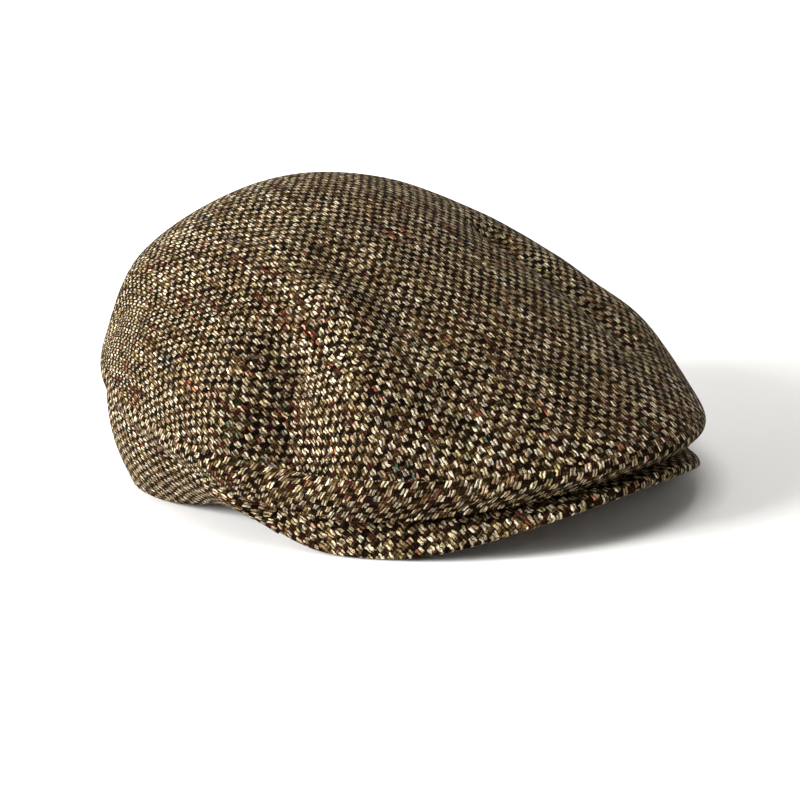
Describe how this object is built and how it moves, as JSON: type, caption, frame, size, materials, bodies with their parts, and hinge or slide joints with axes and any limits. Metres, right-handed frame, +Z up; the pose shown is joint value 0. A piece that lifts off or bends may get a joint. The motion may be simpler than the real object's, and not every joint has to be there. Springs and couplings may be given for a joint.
{
  "type": "flat cap",
  "caption": "Soft rounded flat cap in brown tweed, with a domed top panel rolled over a short stiff peak, side panels to the back and an open head hollow",
  "frame": {"origin": "on the table under the middle of the cap", "axes": "+Z up, the peak towards -Y, the wearer's right towards -X"},
  "size_m": [0.2118, 0.2561, 0.1156],
  "materials": {
    "tweed_top": "coarse hopsack weave",
    "tweed_side": "coarse hopsack weave",
    "tweed_peak": "coarse hopsack weave over a stiff peak"
  },
  "bodies": {
    "root": {"crown_top": "tweed_top", "side_right": "tweed_side", "side_left": "tweed_side", "peak": "tweed_peak"}
  },
  "joints": []
}
